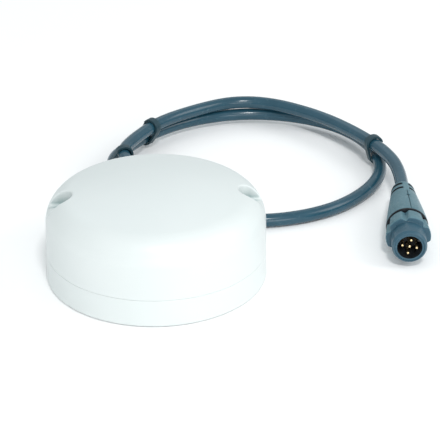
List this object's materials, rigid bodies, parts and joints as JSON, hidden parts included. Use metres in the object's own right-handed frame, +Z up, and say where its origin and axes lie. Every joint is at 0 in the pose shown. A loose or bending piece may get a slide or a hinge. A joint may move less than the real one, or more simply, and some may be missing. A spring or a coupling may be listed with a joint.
{
  "type": "gnss receiver",
  "caption": "Round domed white GNSS receiver with two screw pockets and a looped data cable that ends in a male M12 plug with a turning nut.",
  "frame": {"origin": "centre of the housing's underside, on the surface it stands on", "axes": "+Z up out of the dome; the two screw pockets lie on X; the cable leaves the housing along +Y; the plug lies towards +X"},
  "size_m": [0.1325, 0.1606, 0.0332],
  "materials": {
    "housing_white": "gloss, smooth moulded",
    "cable_sheath": "satin extruded sheath",
    "plug_shell": "satin overmould",
    "tie_nylon": "satin",
    "black_plastic": "satin",
    "seal_rubber": "matte",
    "pad_foam": "matte closed-cell foam",
    "circuit_board": "solder resist",
    "ceramic": "fired ceramic",
    "silver_print": "fired silver",
    "tinned": "tin plate",
    "screw_steel": "bright",
    "gilt_contact": "gold flash",
    "core_red": "wire insulation",
    "core_black": "wire insulation",
    "core_white": "wire insulation",
    "core_blue": "wire insulation",
    "core_bare": "tinned drain wire"
  },
  "bodies": {
    "receiver": {"radome_cover": "housing_white", "base_housing": "housing_white", "housing_seal": "seal_rubber", "mounting_pad": "pad_foam", "case_screw_1": "screw_steel", "case_screw_2": "screw_steel", "case_screw_3": "screw_steel", "case_screw_4": "screw_steel", "main_board": "circuit_board", "board_screw_1": "screw_steel", "board_screw_2": "screw_steel", "board_screw_3": "screw_steel", "patch_adhesive_pad": "black_plastic", "patch_antenna_ceramic": "ceramic", "patch_electrode": "silver_print", "patch_feed_pin": "tinned", "rf_shield_can": "tinned", "gnss_chip": "black_plastic", "microcontroller": "black_plastic", "bus_transceiver": "black_plastic", "clock_crystal": "tinned", "power_inductor": "black_plastic", "capacitor_1": "tinned", "capacitor_2": "tinned", "board_header": "black_plastic", "wire_plug_housing": "ceramic", "core_1": "core_red", "core_2": "core_black", "core_3": "core_white", "core_4": "core_blue", "core_5": "core_bare", "cable_inner_end": "cable_sheath", "strain_relief_boot": "plug_shell", "cable_jacket": "cable_sheath", "cable_tie_back": "tie_nylon", "cable_tie_left": "tie_nylon", "cable_tie_right": "tie_nylon", "plug_body": "plug_shell", "keyed_shroud": "plug_shell", "contact_carrier": "black_plastic", "contact_pin_1": "gilt_contact", "contact_pin_2": "gilt_contact", "contact_pin_3": "gilt_contact", "contact_pin_4": "gilt_contact", "contact_pin_5": "gilt_contact"},
    "plug_nut": {"coupling_nut": "plug_shell"}
  },
  "joints": [
    {"name": "coupling_nut_spin", "type": "hinge", "parent": "receiver", "child": "plug_nut", "pos_m": [0.08592, -0.0047, 0.008], "axis": [-0.1124, -0.9937, 0], "continuous": true}
  ]
}
